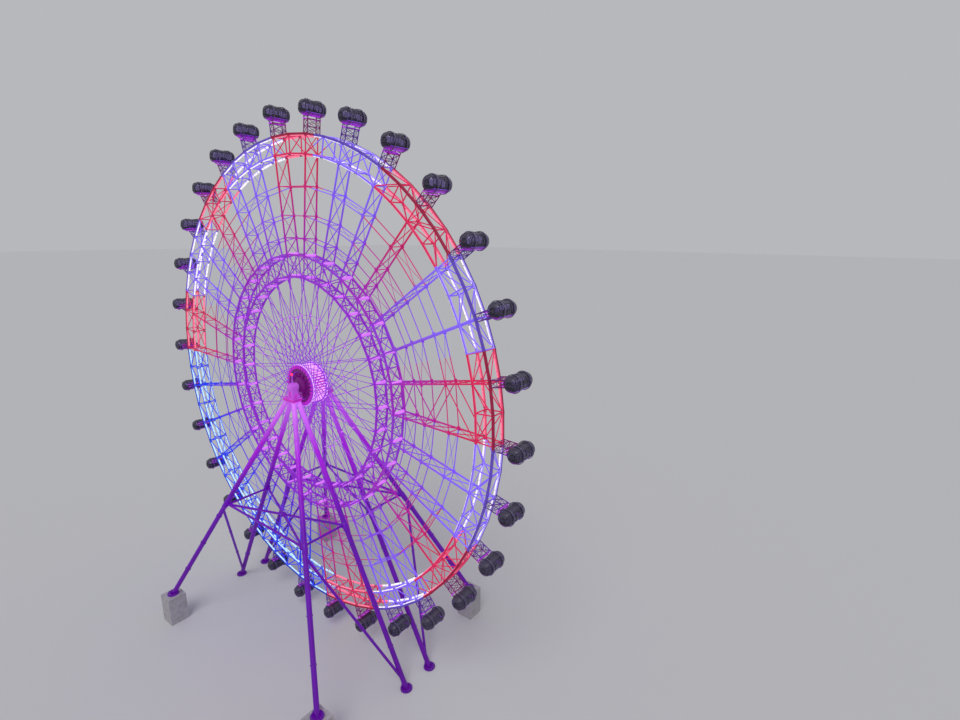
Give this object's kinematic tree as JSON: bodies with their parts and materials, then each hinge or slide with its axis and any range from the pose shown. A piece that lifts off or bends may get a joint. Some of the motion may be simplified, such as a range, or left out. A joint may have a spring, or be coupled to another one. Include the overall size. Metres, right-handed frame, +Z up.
{
  "type": "observation wheel, 1:10 scale model",
  "caption": "Large observation wheel on splayed tube legs, with a lattice rim, thin cable spokes and capsule cabins that stay level as it turns; 1:10 scale model.",
  "frame": {"origin": "on the ground, straight below the middle of the hub", "axes": "+Z up, +Y along the wheel's axis from the near face to the far face, +X to the right seen from the near face"},
  "size_m": [12.0246, 5.13, 12.2482],
  "materials": {
    "rim_paint": "satin",
    "web_paint": "satin",
    "cable_steel": "satin",
    "hub_paint": "satin",
    "leg_paint": "satin",
    "spindle_steel": "satin",
    "pier_concrete": "matte",
    "cabin_shell": "gloss"
  },
  "bodies": {
    "support": {"outer_leg_near_left": "leg_paint", "outer_leg_near_right": "leg_paint", "outer_leg_far_left": "leg_paint", "outer_leg_far_right": "leg_paint", "inner_leg_near_left": "leg_paint", "inner_leg_near_right": "leg_paint", "inner_leg_far_left": "leg_paint", "inner_leg_far_right": "leg_paint", "foot_pier_near_left": "pier_concrete", "foot_pier_near_right": "pier_concrete", "foot_pier_far_left": "pier_concrete", "foot_pier_far_right": "pier_concrete", "leg_frame_near": "leg_paint", "leg_frame_far": "leg_paint", "spindle_head_near": "hub_paint", "spindle_head_far": "hub_paint", "spindle": "spindle_steel"},
    "wheel": {"hub_drum": "hub_paint", "cable_spokes_near": "cable_steel", "cable_spokes_far": "cable_steel", "rim_sector_1": "rim_paint", "rim_sector_2": "rim_paint", "rim_sector_3": "rim_paint", "rim_sector_4": "rim_paint", "rim_sector_5": "rim_paint", "web_sector_1": "web_paint", "web_sector_2": "web_paint", "web_sector_3": "web_paint", "web_sector_4": "web_paint", "web_sector_5": "web_paint"},
    "capsule_01": {"cabin_01": "cabin_shell"},
    "capsule_02": {"cabin_02": "cabin_shell"},
    "capsule_03": {"cabin_03": "cabin_shell"},
    "capsule_04": {"cabin_04": "cabin_shell"},
    "capsule_05": {"cabin_05": "cabin_shell"},
    "capsule_06": {"cabin_06": "cabin_shell"},
    "capsule_07": {"cabin_07": "cabin_shell"},
    "capsule_08": {"cabin_08": "cabin_shell"},
    "capsule_09": {"cabin_09": "cabin_shell"},
    "capsule_10": {"cabin_10": "cabin_shell"},
    "capsule_11": {"cabin_11": "cabin_shell"},
    "capsule_12": {"cabin_12": "cabin_shell"},
    "capsule_13": {"cabin_13": "cabin_shell"},
    "capsule_14": {"cabin_14": "cabin_shell"},
    "capsule_15": {"cabin_15": "cabin_shell"},
    "capsule_16": {"cabin_16": "cabin_shell"},
    "capsule_17": {"cabin_17": "cabin_shell"},
    "capsule_18": {"cabin_18": "cabin_shell"},
    "capsule_19": {"cabin_19": "cabin_shell"},
    "capsule_20": {"cabin_20": "cabin_shell"},
    "capsule_21": {"cabin_21": "cabin_shell"},
    "capsule_22": {"cabin_22": "cabin_shell"},
    "capsule_23": {"cabin_23": "cabin_shell"},
    "capsule_24": {"cabin_24": "cabin_shell"},
    "capsule_25": {"cabin_25": "cabin_shell"},
    "capsule_26": {"cabin_26": "cabin_shell"},
    "capsule_27": {"cabin_27": "cabin_shell"},
    "capsule_28": {"cabin_28": "cabin_shell"},
    "capsule_29": {"cabin_29": "cabin_shell"},
    "capsule_30": {"cabin_30": "cabin_shell"}
  },
  "joints": [
    {"name": "wheel_spin", "type": "hinge", "parent": "support", "child": "wheel", "pos_m": [0, 0, 6.25], "axis": [0, 1, 0], "continuous": true},
    {"name": "roll_01", "type": "hinge", "parent": "wheel", "child": "capsule_01", "pos_m": [5.75609, 0, 7.29398], "axis": [0, 1, 0], "continuous": true},
    {"name": "roll_02", "type": "hinge", "parent": "wheel", "child": "capsule_02", "pos_m": [5.41325, 0, 8.46793], "axis": [0, 1, 0], "continuous": true},
    {"name": "roll_03", "type": "hinge", "parent": "wheel", "child": "capsule_03", "pos_m": [4.83383, 0, 9.54494], "axis": [0, 1, 0], "continuous": true},
    {"name": "roll_04", "type": "hinge", "parent": "wheel", "child": "capsule_04", "pos_m": [4.04314, 0, 10.47795], "axis": [0, 1, 0], "continuous": true},
    {"name": "roll_05", "type": "hinge", "parent": "wheel", "child": "capsule_05", "pos_m": [3.07575, 0, 11.22617], "axis": [0, 1, 0], "continuous": true},
    {"name": "roll_06", "type": "hinge", "parent": "wheel", "child": "capsule_06", "pos_m": [1.97393, 0, 11.75691], "axis": [0, 1, 0], "continuous": true},
    {"name": "roll_07", "type": "hinge", "parent": "wheel", "child": "capsule_07", "pos_m": [0.78584, 0, 12.04698], "axis": [0, 1, 0], "continuous": true},
    {"name": "roll_08", "type": "hinge", "parent": "wheel", "child": "capsule_08", "pos_m": [-0.43659, 0, 12.08369], "axis": [0, 1, 0], "continuous": true},
    {"name": "roll_09", "type": "hinge", "parent": "wheel", "child": "capsule_09", "pos_m": [-1.63994, 0, 11.86543], "axis": [0, 1, 0], "continuous": true},
    {"name": "roll_10", "type": "hinge", "parent": "wheel", "child": "capsule_10", "pos_m": [-2.77162, 0, 11.40176], "axis": [0, 1, 0], "continuous": true},
    {"name": "roll_11", "type": "hinge", "parent": "wheel", "child": "capsule_11", "pos_m": [-3.78216, 0, 10.71293], "axis": [0, 1, 0], "continuous": true},
    {"name": "roll_12", "type": "hinge", "parent": "wheel", "child": "capsule_12", "pos_m": [-4.62741, 0, 9.82905], "axis": [0, 1, 0], "continuous": true},
    {"name": "roll_13", "type": "hinge", "parent": "wheel", "child": "capsule_13", "pos_m": [-5.27041, 0, 8.78875], "axis": [0, 1, 0], "continuous": true},
    {"name": "roll_14", "type": "hinge", "parent": "wheel", "child": "capsule_14", "pos_m": [-5.68308, 0, 7.63749], "axis": [0, 1, 0], "continuous": true},
    {"name": "roll_15", "type": "hinge", "parent": "wheel", "child": "capsule_15", "pos_m": [-5.84736, 0, 6.42559], "axis": [0, 1, 0], "continuous": true},
    {"name": "roll_16", "type": "hinge", "parent": "wheel", "child": "capsule_16", "pos_m": [-5.75609, 0, 5.20602], "axis": [0, 1, 0], "continuous": true},
    {"name": "roll_17", "type": "hinge", "parent": "wheel", "child": "capsule_17", "pos_m": [-5.41325, 0, 4.03207], "axis": [0, 1, 0], "continuous": true},
    {"name": "roll_18", "type": "hinge", "parent": "wheel", "child": "capsule_18", "pos_m": [-4.83383, 0, 2.95506], "axis": [0, 1, 0], "continuous": true},
    {"name": "roll_19", "type": "hinge", "parent": "wheel", "child": "capsule_19", "pos_m": [-4.04314, 0, 2.02205], "axis": [0, 1, 0], "continuous": true},
    {"name": "roll_20", "type": "hinge", "parent": "wheel", "child": "capsule_20", "pos_m": [-3.07575, 0, 1.27383], "axis": [0, 1, 0], "continuous": true},
    {"name": "roll_21", "type": "hinge", "parent": "wheel", "child": "capsule_21", "pos_m": [-1.97393, 0, 0.74309], "axis": [0, 1, 0], "continuous": true},
    {"name": "roll_22", "type": "hinge", "parent": "wheel", "child": "capsule_22", "pos_m": [-0.78584, 0, 0.45302], "axis": [0, 1, 0], "continuous": true},
    {"name": "roll_23", "type": "hinge", "parent": "wheel", "child": "capsule_23", "pos_m": [0.43659, 0, 0.41631], "axis": [0, 1, 0], "continuous": true},
    {"name": "roll_24", "type": "hinge", "parent": "wheel", "child": "capsule_24", "pos_m": [1.63994, 0, 0.63457], "axis": [0, 1, 0], "continuous": true},
    {"name": "roll_25", "type": "hinge", "parent": "wheel", "child": "capsule_25", "pos_m": [2.77162, 0, 1.09824], "axis": [0, 1, 0], "continuous": true},
    {"name": "roll_26", "type": "hinge", "parent": "wheel", "child": "capsule_26", "pos_m": [3.78216, 0, 1.78707], "axis": [0, 1, 0], "continuous": true},
    {"name": "roll_27", "type": "hinge", "parent": "wheel", "child": "capsule_27", "pos_m": [4.62741, 0, 2.67095], "axis": [0, 1, 0], "continuous": true},
    {"name": "roll_28", "type": "hinge", "parent": "wheel", "child": "capsule_28", "pos_m": [5.27041, 0, 3.71125], "axis": [0, 1, 0], "continuous": true},
    {"name": "roll_29", "type": "hinge", "parent": "wheel", "child": "capsule_29", "pos_m": [5.68308, 0, 4.86251], "axis": [0, 1, 0], "continuous": true},
    {"name": "roll_30", "type": "hinge", "parent": "wheel", "child": "capsule_30", "pos_m": [5.84736, 0, 6.07441], "axis": [0, 1, 0], "continuous": true}
  ],
  "couplings": [
    {"joint": "roll_01", "follows": "wheel_spin", "ratio": -1},
    {"joint": "roll_02", "follows": "wheel_spin", "ratio": -1},
    {"joint": "roll_03", "follows": "wheel_spin", "ratio": -1},
    {"joint": "roll_04", "follows": "wheel_spin", "ratio": -1},
    {"joint": "roll_05", "follows": "wheel_spin", "ratio": -1},
    {"joint": "roll_06", "follows": "wheel_spin", "ratio": -1},
    {"joint": "roll_07", "follows": "wheel_spin", "ratio": -1},
    {"joint": "roll_08", "follows": "wheel_spin", "ratio": -1},
    {"joint": "roll_09", "follows": "wheel_spin", "ratio": -1},
    {"joint": "roll_10", "follows": "wheel_spin", "ratio": -1},
    {"joint": "roll_11", "follows": "wheel_spin", "ratio": -1},
    {"joint": "roll_12", "follows": "wheel_spin", "ratio": -1},
    {"joint": "roll_13", "follows": "wheel_spin", "ratio": -1},
    {"joint": "roll_14", "follows": "wheel_spin", "ratio": -1},
    {"joint": "roll_15", "follows": "wheel_spin", "ratio": -1},
    {"joint": "roll_16", "follows": "wheel_spin", "ratio": -1},
    {"joint": "roll_17", "follows": "wheel_spin", "ratio": -1},
    {"joint": "roll_18", "follows": "wheel_spin", "ratio": -1},
    {"joint": "roll_19", "follows": "wheel_spin", "ratio": -1},
    {"joint": "roll_20", "follows": "wheel_spin", "ratio": -1},
    {"joint": "roll_21", "follows": "wheel_spin", "ratio": -1},
    {"joint": "roll_22", "follows": "wheel_spin", "ratio": -1},
    {"joint": "roll_23", "follows": "wheel_spin", "ratio": -1},
    {"joint": "roll_24", "follows": "wheel_spin", "ratio": -1},
    {"joint": "roll_25", "follows": "wheel_spin", "ratio": -1},
    {"joint": "roll_26", "follows": "wheel_spin", "ratio": -1},
    {"joint": "roll_27", "follows": "wheel_spin", "ratio": -1},
    {"joint": "roll_28", "follows": "wheel_spin", "ratio": -1},
    {"joint": "roll_29", "follows": "wheel_spin", "ratio": -1},
    {"joint": "roll_30", "follows": "wheel_spin", "ratio": -1}
  ]
}
